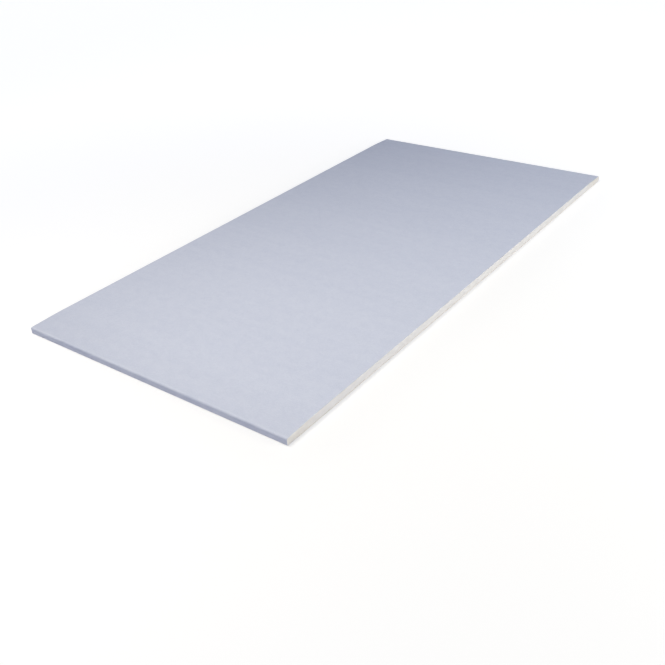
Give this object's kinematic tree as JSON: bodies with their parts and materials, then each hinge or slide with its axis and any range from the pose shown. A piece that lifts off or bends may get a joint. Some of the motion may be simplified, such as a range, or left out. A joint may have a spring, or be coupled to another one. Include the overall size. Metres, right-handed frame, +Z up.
{
  "type": "drywall sheet",
  "caption": "Flat rectangular plasterboard sheet with a gypsum core between face and back paper, tapered bound edges on the short sides and bare cut edges on the long sides.",
  "frame": {"origin": "middle of the underside of the back paper, on the surface the sheet lies on", "axes": "+X along the longer side, from one bound side to the other; +Y along the shorter side, from one cut side to the other; +Z up through the thickness, from the back to the face"},
  "size_m": [1.2, 0.6, 0.015],
  "materials": {
    "gypsum": "matt, chalky, finely porous cast gypsum",
    "face_paper": "smooth matt blue-lilac lining paper",
    "back_paper": "matt brown kraft paper with loose short fibres"
  },
  "bodies": {
    "root": {"gypsum_core": "gypsum", "face_paper": "face_paper", "back_paper": "back_paper"}
  },
  "joints": []
}
